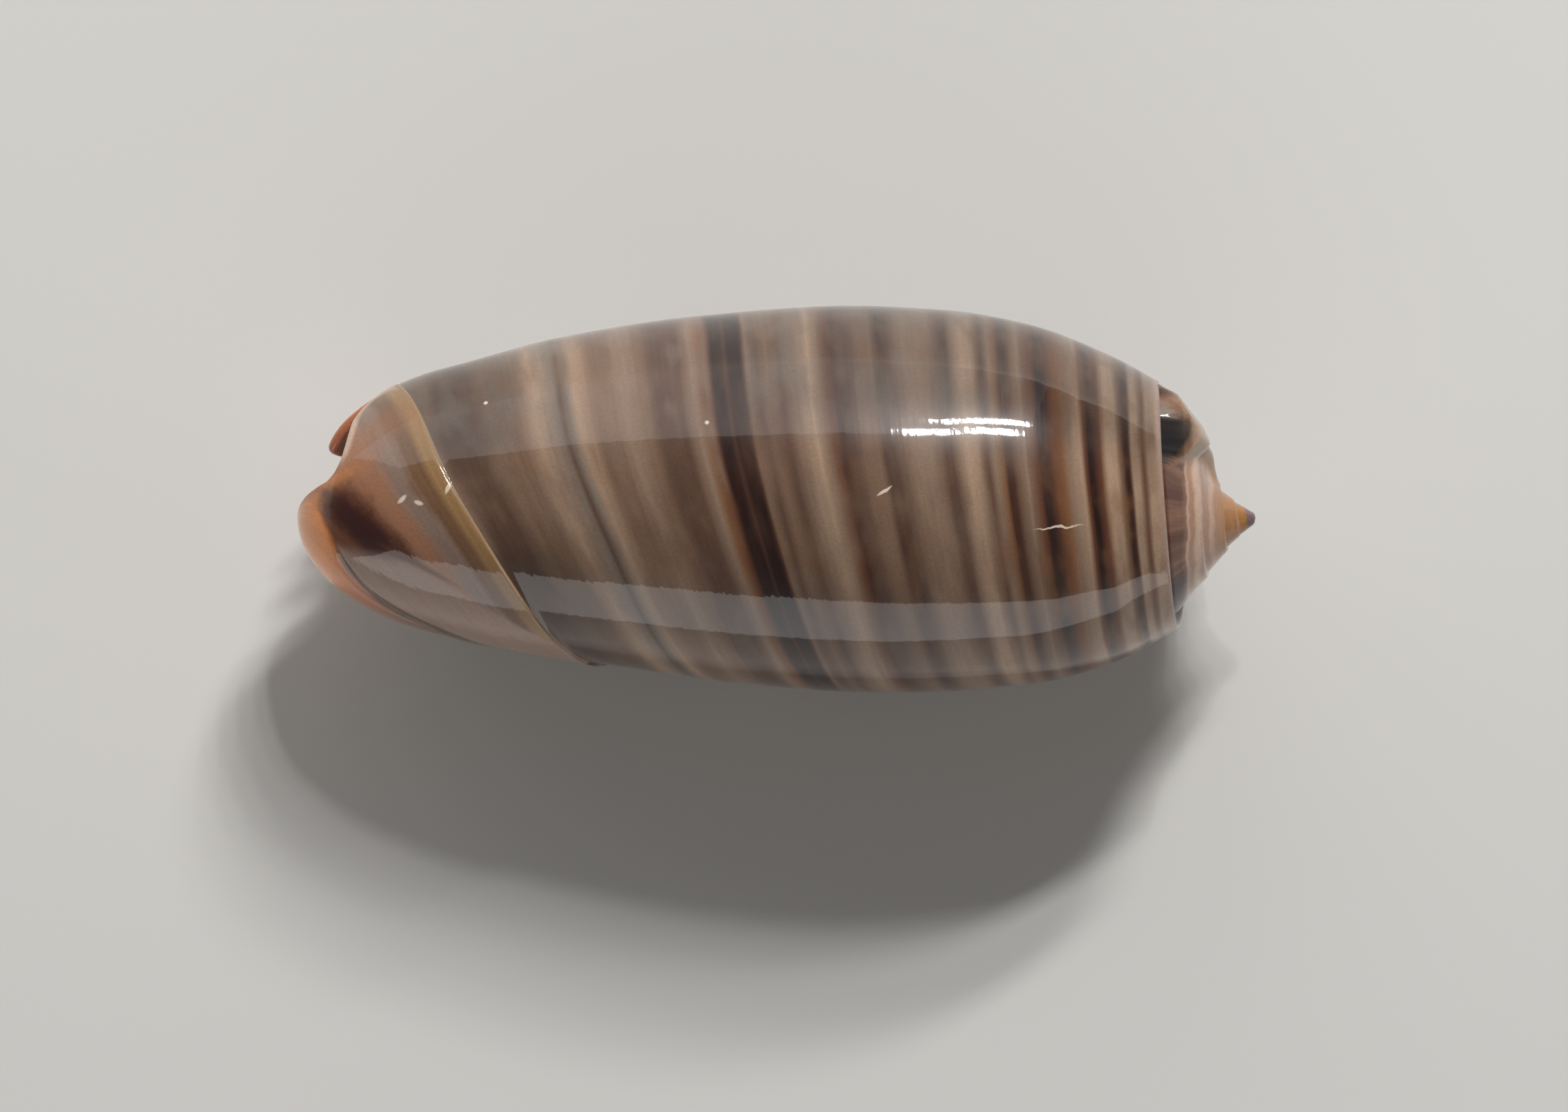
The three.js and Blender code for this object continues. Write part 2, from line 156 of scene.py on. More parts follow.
# Where the material changes: distances inwards from the shoulder, shares of the channel's width,
# and turns
SHOULDER_WIDTH = (0.04, 0.2)
HOLLOW_BEGINS = (0.05, 0.35)
HOLLOW_ENDS = (0.88, 1.12)
LIP_NOTCH_SHADE_TURNS = (68, 75, 84, 92)  # painted shade in a notch between the lip and the callus
LIP_NOTCH_SHADE_WIDTH = (0.3, 0.75)  # radii inwards from the shoulder
GLAZE_TURNS = (205, 225)  # how far back the aperture's glaze begins on the older whorl

# ---- Steps of the fine mesh ----------------------------------------------------------------------

ROWS_BODY = 120
ROWS_STEP = 5
ROWS_BAND = 48
ROWS_CHANNEL = 28
ROWS_SPIRE = 44
COLUMNS_FAR = 100
COLUMNS_CAVITY = 100
EDGE_POINTS = 5
BAND_ROW = 0.8  # rows run from the shoulder (0) over the band's edge (BAND_ROW) to the rim (1)
BAND_STEP_ROW = 0.004  # the band rises over this short row
SHOULDER_CROWDING = 0.45  # rows lie closer together towards the shoulder
NOSE_CROWDING = 1.7  # and towards the rounded nose
CHANNEL_CROWDING = 0.65  # and towards the channel
EDGE_ROUNDNESS = 0.42  # bulge of a rounded edge, as a share of the wall's width
SMALL_STEP = 0.02
TINY = 1e-6
JOIN_DISTANCE = 4e-7  # in metres
LEAST_EDGE = 1e-7  # in metres


def mix(a, b, share):
    return a + (b - a) * share


def smooth(x, span):
    t = np.clip((np.asarray(x, float) - span[0]) / (span[1] - span[0]), 0, 1)
    return t * t * (3 - 2 * t)


def through(knots):
    """A smooth curve y(x) through knots, without overshoot between them."""
    x, y = np.array(knots, float).T
    chord = np.diff(y) / np.diff(x)
    same_way = chord[:-1] * chord[1:] > 0
    total = np.where(same_way, chord[:-1] + chord[1:], 1)
    slope = np.where(same_way, 2 * chord[:-1] * chord[1:] / total, 0)
    slope = np.concatenate((chord[:1], slope, chord[-1:]))

    def curve(at):
        i = np.clip(np.searchsorted(x, at, side="right") - 1, 0, len(chord) - 1)
        width = x[i + 1] - x[i]
        t = np.clip((at - x[i]) / width, 0, 1)
        rise = (3 - 2 * t) * t * t
        leave = t * (1 - t) ** 2 * slope[i] * width
        arrive = t * t * (t - 1) * slope[i + 1] * width
        return mix(y[i], y[i + 1], rise) + leave + arrive

    return curve


lip_side = through(LIP_SIDE)
far_side = through(FAR_SIDE)
roll_turn = through(ROLL_LINE)
spire_profile = through(SPIRE_PROFILE)
callus_profile = through(CALLUS_PROFILE)
rim_turn = through([(i / (len(NOTCH_RIM) - 1), turn) for i, (turn, _) in enumerate(NOTCH_RIM)])
rim_along = through([(i / (len(NOTCH_RIM) - 1), along) for i, (_, along) in enumerate(NOTCH_RIM)])


def growth(turn):
    """Size of the shell at a turn, against its size at turn 0."""
    ahead = np.logaddexp(0, (RATE_TURN - turn) / RATE_SPREAD)
    change = np.logaddexp(0, RATE_TURN / RATE_SPREAD) - ahead
    return np.exp(LATE_RATE * turn + (EARLY_RATE - LATE_RATE) * RATE_SPREAD * change)


def band_start(turn):
    return BAND_START + BAND_DRIFT * smooth(turn, BAND_DRIFT_TURNS)


def plunge(along, turn):
    """The radius left to the wall where it has dived into the aperture, as a share."""
    hind = mix(PLUNGE_HIND, PLUNGE_MIDDLE, smooth(along, PLUNGE_MIDDLE_RANGE))
    share = hind + PLUNGE_FRONT_EXTRA * smooth(along, PLUNGE_FRONT_RANGE)
    return 1 - share * smooth(PLUNGE_TURN - turn, (0, PLUNGE_SPREAD))


def relief(along, turn):
    """The band's step, the nose's rolled edge and the folds in the aperture, in millimetres."""
    start = along / growth(turn)
    on_band = smooth(start - band_start(turn), (0, BAND_RISE)) * (1 - smooth(turn, BAND_END_TURNS))
    roll = smooth(roll_turn(along) - turn, (-ROLL_SOFTNESS, ROLL_SOFTNESS))
    rolled = smooth(along, ROLL_RANGE) * smooth(turn, ROLL_TURNS)
    folds = 0.5 - 0.5 * np.cos(2 * math.pi * start / FOLD_PITCH)
    in_aperture = (1 - smooth(turn, FOLD_OUTER_TURNS)) * smooth(turn, FOLD_INNER_TURNS)
    folded = smooth(start, FOLD_RANGE) * in_aperture
    off_crease = np.abs(roll_turn(along) - turn - CREASE_ROLL)
    crease = (1 - smooth(off_crease, (0, CREASE_WIDTH))) * (1 - smooth(turn, CREASE_TURNS)) * rolled
    fade = np.minimum(1, RELIEF_FADE * np.sqrt(np.clip(1 - along / LENGTH, 0, 1)))
    raised = BAND_HEIGHT * on_band + ROLL_HEIGHT * roll * rolled - CREASE_DEPTH * crease
    return fade * (raised + FOLD_HEIGHT * folds * folded)


def radius(along, turn):
    far = far_side(along)
    spiral = far * (lip_side(along) / far) ** ((turn + 90) / 180)
    curl = 1 - LIP_CURL * smooth(turn, LIP_CURL_TURNS)
    nose = np.sqrt(np.clip(1 - np.clip((along - LENGTH) / NOSE_LENGTH + 1, 0, 1) ** 2, 0, 1))
    return nose * (spiral * curl * plunge(along, turn) + relief(along, turn))


def point(along, turn, r=None):
    along, turn = np.broadcast_arrays(np.asarray(along, float), np.asarray(turn, float))
    r = radius(along, turn) if r is None else r
    angle = np.radians(turn)
    return np.stack((LENGTH / 2 - along, r * np.sin(angle), r * np.cos(angle)), axis=-1)


def unit(vectors):
    return vectors / np.maximum(np.linalg.norm(vectors, axis=-1, keepdims=True), TINY)


def normal(along, turn):
    at = np.minimum(along, LENGTH - 2 * SMALL_STEP)
    forward = point(at + SMALL_STEP, turn) - point(at - SMALL_STEP, turn)
    around = point(at, turn + 1) - point(at, turn - 1)
    return unit(np.cross(around, forward))


def band_share(row):
    return np.clip((row - BAND_ROW) / (1 - BAND_ROW), 0, 1)


def cavity_end(row):
    return mix(CAVITY_END_TURN, NOTCH_RIM[0][0], smooth(row, CAVITY_END_ROWS))


def lip_turn(row):
    return mix(LIP_TURN, LIP_FOOT_TURN, smooth(row, LIP_FOOT_ROWS))


def along_at(row, turn, rim=LENGTH):
    start = mix(SHOULDER_START, band_start(turn), np.minimum(1, row / BAND_ROW))
    return mix(start * growth(turn), rim, band_share(row))


def wall_place(t, row):
    """Turn and along on the hollow part of the whorl; t is 0 at the cavity's end, 1 at the lip."""
    share = band_share(row)
    turn = mix(cavity_end(row), lip_turn(row), t)
    straight = mix(mix(cavity_end(BAND_ROW), LIP_FOOT_TURN, t), turn, share)
    bent = np.where(share > 0, mix(straight, rim_turn(t), share * share), turn)
    return bent, along_at(row, bent, rim_along(t))


def outer_point(t, row):
    turn, along = wall_place(t, row)
    return point(along, turn)


def inner_place(t, row):
    turn, along = wall_place(t, row)
    drop = ROOF_DROP * (1 - smooth(row, ROOF_ROWS)) * (1 - smooth(t, ROOF_OPENS))
    return turn, along + drop


def inner_point(t, row):
    turn, along = inner_place(t, row)
    wall = mix(WALL, LIP_WALL, smooth(t, WALL_THICKENS))
    thickness = mix(wall, RIM_WALL, smooth(row, (BAND_ROW, 1)))
    return point(along, turn) - thickness[..., None] * normal(along, turn)


def older_place(t, row):
    """Turn and along on the older whorl, which is the inner side of the aperture."""
    level = mix(cavity_end(row), lip_turn(row), t)
    deep = along_at(row, level) + ROOF_DROP * (1 - smooth(row, ROOF_ROWS))
    return level - 360, mix(deep, along_at(row, level - 360), smooth(t, ROOF_OPENS))


def edge_points(outer, inner, out, share):
    """A point of the rounded edge between the outer (share 0) and the inner face (share 1)."""
    angle = math.pi * share
    width = np.linalg.norm(outer - inner, axis=-1, keepdims=True)
    across = (outer + inner) / 2 + (outer - inner) / 2 * math.cos(angle)
    return across + out * width * EDGE_ROUNDNESS * math.sin(angle)


def callus_height(turn, r):
    beyond = (turn - CALLUS_TURN + 180) % 360 - 180
    slant = smooth(r, CALLUS_SLANT)
    before = [mix(inner, outer, slant) for inner, outer in zip(CALLUS_INNER, CALLUS_OUTER)]
    hidden = smooth(beyond, CALLUS_HIDDEN)
    return (1 - np.where(beyond > 0, hidden, smooth(-beyond, before))) * callus_profile(r)


def leaned(r, turn):
    """Radius at which an upright cone would have the same slope as the leaning tip."""
    lip_side_share = 0.5 + 0.5 * np.sin(np.radians(turn))
    return r * (1 + LEAN * lip_side_share * (1 - smooth(r, LEAN_FADES)))


def spire_phase(turn, r):
    """Counts whorls outwards across the spire, and is whole at each suture."""
    upright = np.maximum(leaned(r, turn), SMALL_STEP)
    return np.log(upright / SUTURE_RADIUS) / math.log(SUTURE_RATIO) - (turn + 90) / 360


def spire_along(r, turn):
    f = spire_phase(turn, r) % 1
    upright = leaned(r, turn)
    rise = smooth(f, (0, SUTURE_WIDTH)) - np.clip(f - SUTURE_WIDTH, 0, 1) / (1 - SUTURE_WIDTH) - 0.5
    height = SUTURE_STEP * rise * smooth(upright, SUTURE_GROWS)
    height = height * (1 - smooth(upright, SUTURE_FADES))
    return spire_profile(upright) - height - callus_height(turn, r)


def hole_share(turn):
    return smooth(turn, HOLE_TURNS[:2]) * (1 - smooth(turn, HOLE_TURNS[2:]))


def channel_width(edge_r, turn):
    return np.minimum(CHANNEL_WIDTH * (1 + HOLE_WIDENS * hole_share(turn)), edge_r - MERGE_RADIUS)


def channel_open(turn, r):
    return 1 - callus_height(turn, r) * (1 - hole_share(turn))


def channel_shade_mask(edge_r, turn, r):
    """1 in the channel and in the notch beside the lip, where shade is painted, and 0 on the
    shoulder and the spire beside it.
    """
    share = (edge_r - r) / channel_width(edge_r, turn)
    channel = channel_open(turn, r) * smooth(share, HOLLOW_BEGINS)
    channel = channel * (1 - smooth(share, HOLLOW_ENDS))
    # Painted shade in the notch beside the lip
    beside_lip = smooth(turn, LIP_NOTCH_SHADE_TURNS[:2]) * (1 - smooth(turn, LIP_NOTCH_SHADE_TURNS[2:]))
    return np.maximum(channel, beside_lip * (1 - smooth(edge_r - r, LIP_NOTCH_SHADE_WIDTH)))


def channel_along(edge_along, edge_r, turn, r):
    share = (edge_r - r) / channel_width(edge_r, turn)
    deepening = mix(CHANNEL_SHALLOW, 1, smooth(turn, CHANNEL_DEEPENS))
    open_share = channel_open(turn, r)
    depth = CHANNEL_DEPTH * deepening * open_share + HOLE_DEPTH * hole_share(turn)
    floor = edge_along + depth * smooth(share, (0, CHANNEL_WALLS[0]))
    rises = (CHANNEL_WALLS[1] * open_share, mix(CHANNEL_CLOSED_WIDTH, 1, open_share))
    return mix(floor, spire_along(r, turn), smooth(share, rises))


# ---- The mesh ------------------------------------------------------------------------------------


class Skin:
    """Gathers grids of points, with the values that the material reads at each of them."""

    FIELDS = (
        "along", "turn", "start", "edge", "rim", "roll", "inside", "spire", "callus", "hollow")

    def __init__(self):
        self.points = []
        self.values = {field: [] for field in self.FIELDS}
        self.faces = []
        self.count = 0

    def add(self, points, **values):
        """Adds points, and returns their numbers in the same arrangement.

        A field that isn't given is 0.
        """
        shape = points.shape[:-1]
        numbers = self.count + np.arange(np.prod(shape)).reshape(shape)
        self.points.append(points.reshape(-1, 3))
        for field in self.FIELDS:
            self.values[field].append(np.broadcast_to(values.get(field, 0), shape).reshape(-1))
        self.count += numbers.size
        return numbers

    def grid(self, numbers):
        """Faces over a grid of point numbers, whose rows go forward and whose columns go round."""
        a, b = numbers[:-1, :-1].ravel(), numbers[:-1, 1:].ravel()
        c, d = numbers[1:, 1:].ravel(), numbers[1:, :-1].ravel()
        self.faces.append(np.stack((a, b, c, d), axis=-1))

    def mesh(self, name):
        points = np.concatenate(self.points)
        points[:, 2] = np.maximum(points[:, 2], -REST_DEPTH) + REST_DEPTH
        points[:, 1] -= (points[:, 1].max() + points[:, 1].min()) / 2
        # A quad that names a point twice becomes a triangle
        faces = [list(dict.fromkeys(face)) for face in np.concatenate(self.faces).tolist()]
        mesh = bpy.data.meshes.new(name)
        mesh.from_pydata((points * MM).tolist(), [], faces)
        for field, parts in self.values.items():
            attribute = mesh.attributes.new(field, "FLOAT", "POINT")
            attribute.data.foreach_set("value", np.concatenate(parts))
        join(mesh)
        return mesh


def join(mesh):
    """Joins points that lie on each other, and shades the surface smooth."""
    work = bmesh.new()
    work.from_mesh(mesh)
    bmesh.ops.remove_doubles(work, verts=work.verts, dist=JOIN_DISTANCE)
    bmesh.ops.dissolve_degenerate(work, edges=work.edges, dist=LEAST_EDGE)
    for face in work.faces:
        face.smooth = True
    work.to_mesh(mesh)
    work.free()


def shell_rows():
    body = np.linspace(0, 1, ROWS_BODY + 1)
    step = np.linspace(0, 1, ROWS_STEP + 1)[1:-1]
    band = 1 - (1 - np.linspace(0, 1, ROWS_BAND + 1)) ** NOSE_CROWDING
    return np.concatenate((
        BAND_ROW * mix(body, body * body, SHOULDER_CROWDING),
        BAND_ROW + BAND_STEP_ROW * step,
        mix(BAND_ROW + BAND_STEP_ROW, 1, band),
    ))[:, None]


def add_places(skin, turn, along, rim, inside, points=None):
    points = point(along, turn) if points is None else points
    start = along / growth(turn)
    return skin.add(
        points, along=along, turn=turn, start=start, edge=start - band_start(turn),
        rim=rim - along, roll=roll_turn(along) - turn, inside=inside)


def shell_mesh():
    skin = Skin()
    row = shell_rows()
    t = np.linspace(0, 1, COLUMNS_CAVITY + 1)[None, :]
    s = np.linspace(0, 1, COLUMNS_FAR + 1)[None, :-1]

    wall_turn, wall_along = wall_place(t, row)
    wall_rim = rim_along(t)
    far_turn = mix(lip_turn(row) - 360, wall_turn[:, :1], s)
    outside_turn = np.concatenate((far_turn, wall_turn), axis=1)
    outside_along = np.concatenate((along_at(row, far_turn), wall_along), axis=1)
    outside_rim = np.concatenate((np.full(s.shape, LENGTH), wall_rim), axis=1)
    outside = add_places(skin, outside_turn, outside_along, outside_rim, 0)

    inner_turn, inner_along = inner_place(t, row)
    inner_points = inner_point(t, row)
    inner = add_places(skin, inner_turn, inner_along, wall_rim, 1, inner_points)

    older_turn, older_along = older_place(t, row)
    older = add_places(skin, older_turn, older_along, LENGTH, smooth(-older_turn, GLAZE_TURNS))

    outer_points = point(wall_along, wall_turn)
    lip_out = unit(outer_points[:, -1] - outer_point(1 - SMALL_STEP, row[:, 0]))
    shares = np.linspace(0, 1, EDGE_POINTS + 2)[1:-1]

    def lip_column(share):
        points = edge_points(outer_points[:, -1], inner_points[:, -1], lip_out, share)
        return add_places(skin, wall_turn[:, -1], wall_along[:, -1], wall_rim[0, -1], share, points)

    lip = np.stack([lip_column(share) for share in shares], axis=1)
    skin.grid(np.concatenate((outside, lip, inner[:, ::-1], older), axis=1))

    rim_out = unit(outer_points[-1] - outer_point(t[0], 1 - SMALL_STEP))

    def rim_row(share):
        points = edge_points(outer_points[-1], inner_points[-1], rim_out, share)
        return add_places(skin, wall_turn[-1], wall_along[-1], wall_rim[0], share, points)

    rim = np.stack([rim_row(share) for share in shares])
    rim[:, 0] = outside[-1, COLUMNS_FAR]
    rim[:, -1] = lip[-1]
    skin.grid(np.concatenate((outside[-1:, COLUMNS_FAR:], rim, inner[-1:])))

    skin.grid(np.stack((inner[0], older[0])))
    hind_end = np.concatenate((inner[0, -1:], lip[0, ::-1], outside[0, -1:]))
    skin.grid(np.stack((hind_end, np.full_like(hind_end, older[0, -1]))))
    add_spire(skin, outside_turn[0], outside_along[0])
    return skin.mesh("shell_skin")


def add_spire(skin, turn, edge_along):
    edge_r = radius(edge_along, turn)
    share = np.linspace(0, 1, ROWS_CHANNEL + 1)[:, None]
    r = mix(edge_r, MERGE_RADIUS, mix(share, share * share, CHANNEL_CROWDING))
    along = channel_along(edge_along, edge_r, turn, r)
    inner_r = MERGE_RADIUS * (1 - np.linspace(0, 1, ROWS_SPIRE + 1)[1:, None]) * np.ones_like(turn)
    r = np.concatenate((r, inner_r))
    along = np.concatenate((along, spire_along(inner_r, turn)))
    turn = np.broadcast_to(turn, r.shape)
    inward = edge_r - r
    numbers = skin.add(
        point(along, turn, r), along=along, turn=turn, start=spire_phase(turn, r),
        edge=-BAND_START, rim=LENGTH, spire=smooth(inward, SHOULDER_WIDTH),
        callus=callus_height(turn, r), hollow=channel_shade_mask(edge_r, turn, r))
    skin.grid(np.concatenate((numbers, numbers[:, :1]), axis=1)[::-1])


# ---- Materials -----------------------------------------------------------------------------------


def colour(red, green, blue):
    """Linear colour from the 0 to 255 values that a screen shows."""
    shown = np.array((red, green, blue)) / 255
    linear = np.where(shown <= 0.04045, shown / 12.92, ((shown + 0.055) / 1.055) ** 2.4)
    return (*linear.tolist(), 1)


COLOUR_A, COLOUR_B, MIXED_COLOUR = 6, 7, 2  # sockets of the mix node for colours


class Tree:
    """Short calls that add and link the nodes of a material."""

    def __init__(self, material):
        material.use_nodes = True
        self.nodes = material.node_tree.nodes
        self.links = material.node_tree.links
        self.shader = self.nodes["Principled BSDF"]

    def node(self, kind, *inputs, **settings):
        node = self.nodes.new(kind)
        for name, value in settings.items():
            setattr(node, name, value)
        for socket, value in enumerate(inputs):
            self.put(node.inputs[socket], value)
        return node

    def put(self, socket, value):
        if isinstance(value, bpy.types.NodeSocket):
            self.links.new(value, socket)
        else:
            socket.default_value = value

    def math(self, operation, a, b=0):
        return self.node("ShaderNodeMath", a, b, operation=operation).outputs[0]

    def add(self, *values):
        return functools.reduce(lambda a, b: self.math("ADD", a, b), values)

    def times(self, *values):
        return functools.reduce(lambda a, b: self.math("MULTIPLY", a, b), values)

    def less(self, a, b):
        return self.math("SUBTRACT", a, b)

    def larger(self, a, b):
        return self.math("MAXIMUM", a, b)

    def field(self, name):
        return self.node("ShaderNodeAttribute", attribute_name=name).outputs["Fac"]

    def ramp(self, value, stops):
        """Colour against value: stops are (value, colour), in order."""
        low, high = stops[0][0], stops[-1][0]
        node = self.nodes.new("ShaderNodeValToRGB")
        elements = node.color_ramp.elements
        elements[0].color, elements[1].color = stops[0][1], stops[-1][1]
        for place, tone in stops[1:-1]:
            elements.new((place - low) / (high - low)).color = tone
        self.put(node.inputs[0], self.between(value, low, high, "LINEAR"))
        return node.outputs["Color"]

    def between(self, value, low, high, shape="SMOOTHSTEP"):
        """Rises from 0 at low to 1 at high, which may be the smaller of the two."""
        node = self.node("ShaderNodeMapRange", value, low, high, 0, 1, interpolation_type=shape)
        return node.outputs[0]

    def near(self, value, centre, core, reach):
        """1 within core of the centre, and 0 from reach on."""
        return self.between(self.math("ABSOLUTE", self.less(value, centre)), reach, core)

    def blend(self, share, under, over, mode="MIX"):
        node = self.node("ShaderNodeMix", share, data_type="RGBA", blend_type=mode)
        self.put(node.inputs[COLOUR_A], under)
        self.put(node.inputs[COLOUR_B], over)
        return node.outputs[MIXED_COLOUR]

    def place(self, x, y, z=0):
        return self.node("ShaderNodeCombineXYZ", x, y, z).outputs[0]

    def noise(self, where, scale=1, detail=2, roughness=0.5):
        node = self.nodes.new("ShaderNodeTexNoise")
        self.put(node.inputs["Vector"], where)
        node.inputs["Scale"].default_value = scale
        node.inputs["Detail"].default_value = detail
        node.inputs["Roughness"].default_value = roughness
        return node.outputs["Fac"]

    def cloud(self, where, *settings):
        """Noise about 0, within half a unit either way."""
        return self.less(self.noise(where, *settings), 0.5)

    def streaks(self, start, turn, width, length, seed, detail=2):
        """Noise in streaks along the growth bands, their length in degrees of turn."""
        where = self.place(self.times(start, 1 / width), self.times(turn, 1 / length), seed)
        return self.noise(where, 1, detail)

    def blotches(self, start, turn, streaks, levels):
        """Streaks that begin at the first level of their noise and are full at the second."""
        return self.between(self.streaks(start, turn, *streaks), *levels)


SAND = colour(156, 129, 107)
PALE = colour(131, 107, 89)
TAN = colour(111, 86, 68)
GREY = colour(112, 99, 88)
SOFT = colour(83, 60, 48)
BROWN = colour(62, 36, 26)
DARK = colour(36, 16, 12)
OCHRE = colour(118, 80, 52)
RUST = colour(92, 54, 35)
LILAC = colour(150, 124, 109)
CREAM = colour(205, 188, 166)
WORN = colour(222, 204, 186)
BLACK = colour(0, 0, 0)

# Tone of the growth bands against "start", from the shoulder to the band's edge
HIND_BANDS = [
    (3.8, SAND), (4.6, SAND), (4.72, TAN), (4.8, RUST), (4.9, TAN), (5.05, SAND), (5.25, SAND),
    (5.4, BROWN), (5.52, DARK), (5.62, BROWN), (5.82, TAN), (5.98, SAND), (6.35, SAND),
    (6.65, RUST), (6.88, BROWN), (7.0, DARK), (7.16, DARK), (7.32, RUST), (7.5, SAND),
    (7.95, PALE), (8.25, OCHRE), (8.6, RUST), (8.8, BROWN), (8.95, DARK), (9.15, DARK),
    (9.35, RUST), (9.7, TAN), (9.85, PALE), (10.1, TAN),
]
MIDDLE_BANDS = [
    (10.1, TAN), (10.4, BROWN), (10.62, BROWN), (10.8, OCHRE), (11.1, PALE), (11.4, SOFT),
    (11.6, TAN), (11.9, SAND), (12.3, SAND), (12.85, SOFT), (13.1, SOFT), (13.6, PALE),
    (14.6, PALE), (15.2, SOFT), (15.65, BROWN), (16.0, TAN), (16.4, TAN), (16.9, SOFT),
    (17.5, BROWN), (17.8, RUST), (18.1, TAN), (18.55, SAND), (19.1, PALE), (19.75, SOFT),
    (20.3, TAN),
]
FRONT_BANDS = [
    (20.3, TAN), (20.7, SOFT), (21.1, TAN), (21.25, BROWN), (21.4, DARK), (21.8, DARK),
    (21.95, BROWN), (22.1, DARK), (22.5, DARK), (22.75, RUST), (23.05, OCHRE), (23.35, PALE),
    (23.9, SOFT), (24.9, SOFT), (25.5, TAN), (26.2, PALE), (26.9, TAN), (27.5, TAN), (28.2, SAND),
    (28.6, GREY), (28.85, SOFT), (29.1, GREY), (29.9, SAND), (30.7, TAN), (31.8, TAN),
    (32.6, SOFT), (33.7, SOFT), (34.4, TAN),
]

# Streaks: width in millimetres, length in degrees of turn, seed and, where it isn't 2, detail.
# Levels: the noise at which blotches set in and at which they are full. Shifts: in millimetres.
WAVER = (2.2, 45, 0.5, 1)
WAVER_SHIFT = 0.2
FINE_WAVER = (0.5, 60, 3.5, 1)
FINE_WAVER_SHIFT = 0.12
FADED = (1.7, 24, 7.5)
FADED_LEVELS = (0.42, 0.75)
FADED_SHARE = 0.42
DEEP = (1.2, 30, 9.5)
DEEP_LEVELS = (0.45, 0.75)
DEEP_SHARE = 0.4
STAINED = (1, 18, 11.5)
STAINED_LEVELS = (0.45, 0.72)
STAINED_SHARE = 0.1
STAINED_MORE = 0.35
GREYED = (1.6, 26, 15.5)
GREYED_LEVELS = (0.45, 0.68)
GREYED_SHARE = 0.12
# painted reflection: the share of grey added on the lip side
GREY_REFLECTION = 0.4
GROWTH_LINES = (0.24, 70, 21.5)
GROWTH_LINE_LEVELS = (0.3, 0.7)
GROWTH_RIDGES = (0.45, 70, 41.5)
FIBRES = (5, 8, 17.5)
FIBRE_LEVELS = (0.35, 0.75)
FIBRE_SHARE = 0.5

# A pair says where in start or in turn a change sets in, and where it is complete
STEADY_BAND = (21.95, 0.6, 0.9)  # the dark double band doesn't fade: its middle, core and reach
STEADY_HIND = (13, 9)  # the bands behind these fade less
STEADY_HIND_SHARE = 0.7
STAINED_MORE_STARTS = (24, 6)
# painted reflection: turns where more grey is added
GREY_REFLECTION_TURNS = (10, 45)
HIND_PAINTED_SHADE_TURNS = (14, 38)  # painted shade: the hind part is darker on the lip side
HIND_PAINTED_SHADE_STARTS = (25, 14)
HIND_PAINTED_SHADE = 0.36
FRONT_PAINTED_SHADE_FAR = (-6, -18)  # painted shade: the front part is darker on both sides
FRONT_PAINTED_SHADE_LIP = (20, 34)
FRONT_PAINTED_SHADE_STARTS = (30, 31.6)
FRONT_PAINTED_SHADE = 0.3

GRAIN = (9000, 2)  # noise: scale per metre, and detail
GRAIN_LEVELS = (0.3, 0.7)
LEAST_SHADE = 0.84  # by which the tone is multiplied where lines and grain are 0
LINE_SHADE = GRAIN_SHADE = 0.16


def banded(tree, start, turn):
    """The body's growth bands, whose strength comes and goes along them, with painted shade on its
    sides and a painted grey reflection on the lip side.
    """
    waver = tree.less(tree.streaks(start, turn, *WAVER), 0.5)
    fine = tree.less(tree.streaks(start, turn, *FINE_WAVER), 0.5)
    wavering = tree.add(start, tree.times(waver, WAVER_SHIFT), tree.times(fine, FINE_WAVER_SHIFT))
    tone = tree.ramp(wavering, HIND_BANDS)
    for bands in (MIDDLE_BANDS, FRONT_BANDS):
        beyond = tree.math("GREATER_THAN", wavering, bands[0][0])
        tone = tree.blend(beyond, tone, tree.ramp(wavering, bands))

    steady_hind = tree.times(tree.between(start, *STEADY_HIND), STEADY_HIND_SHARE)
    unsteady = tree.less(1, tree.larger(tree.near(wavering, *STEADY_BAND), steady_hind))
    faded = tree.blotches(start, turn, FADED, FADED_LEVELS)
    tone = tree.blend(tree.times(faded, unsteady, FADED_SHARE), tone, PALE)
    deep = tree.blotches(start, turn, DEEP, DEEP_LEVELS)
    tone = tree.blend(tree.times(deep, DEEP_SHARE), tone, SOFT)
    stained = tree.blotches(start, turn, STAINED, STAINED_LEVELS)
    hind = tree.times(tree.between(start, *STAINED_MORE_STARTS), STAINED_MORE)
    tone = tree.blend(tree.times(stained, tree.add(STAINED_SHARE, hind)), tone, OCHRE)
    greyed = tree.blotches(start, turn, GREYED, GREYED_LEVELS)
    # The grey blotches are the shell's own; on the lip side more grey is a painted reflection
    grey_reflection = tree.times(tree.between(turn, *GREY_REFLECTION_TURNS), GREY_REFLECTION)
    tone = tree.blend(tree.times(greyed, tree.add(GREYED_SHARE, grey_reflection), unsteady), tone, GREY)

    # Painted shade on the lip side of the hind part
    hind = tree.between(start, *HIND_PAINTED_SHADE_STARTS)
    hind = tree.times(tree.between(turn, *HIND_PAINTED_SHADE_TURNS), hind)
    tone = tree.blend(tree.times(hind, HIND_PAINTED_SHADE), tone, BLACK, "MULTIPLY")
    # Painted shade on both sides of the front part
    sides = tree.larger(tree.between(turn, *FRONT_PAINTED_SHADE_FAR), tree.between(turn, *FRONT_PAINTED_SHADE_LIP))
    front = tree.times(sides, tree.between(start, *FRONT_PAINTED_SHADE_STARTS))
    return tree.blend(tree.times(front, FRONT_PAINTED_SHADE), tone, BLACK, "MULTIPLY")


